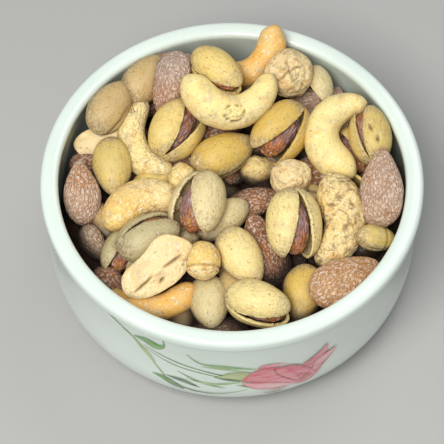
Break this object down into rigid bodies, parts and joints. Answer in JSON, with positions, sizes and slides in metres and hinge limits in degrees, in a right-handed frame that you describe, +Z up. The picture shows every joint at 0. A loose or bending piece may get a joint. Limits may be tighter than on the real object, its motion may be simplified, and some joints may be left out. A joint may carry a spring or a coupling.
{
  "type": "bowl of mixed nuts",
  "caption": "Round white bowl with a rounded lip and a flower sprig on its side, heaped with salted pistachios, cashews, almonds and round nuts.",
  "frame": {"origin": "centre of the bowl's underside, on the surface it stands on", "axes": "+Z up along the bowl's axis, -Y towards the side with the flower sprig, +X to the right seen from there"},
  "size_m": [0.12, 0.12, 0.0593],
  "materials": {
    "glazed_bowl": "glossy white glaze with a faint mint tint, smooth, with a printed sprig of leaves and a pink bud",
    "salted_nuts": "dry roasted nuts, cream to tan and brown, dusted with salt, matt with a slight sheen on the shells"
  },
  "bodies": {
    "root": {"bowl": "glazed_bowl", "nut_heap": "salted_nuts"}
  },
  "joints": []
}
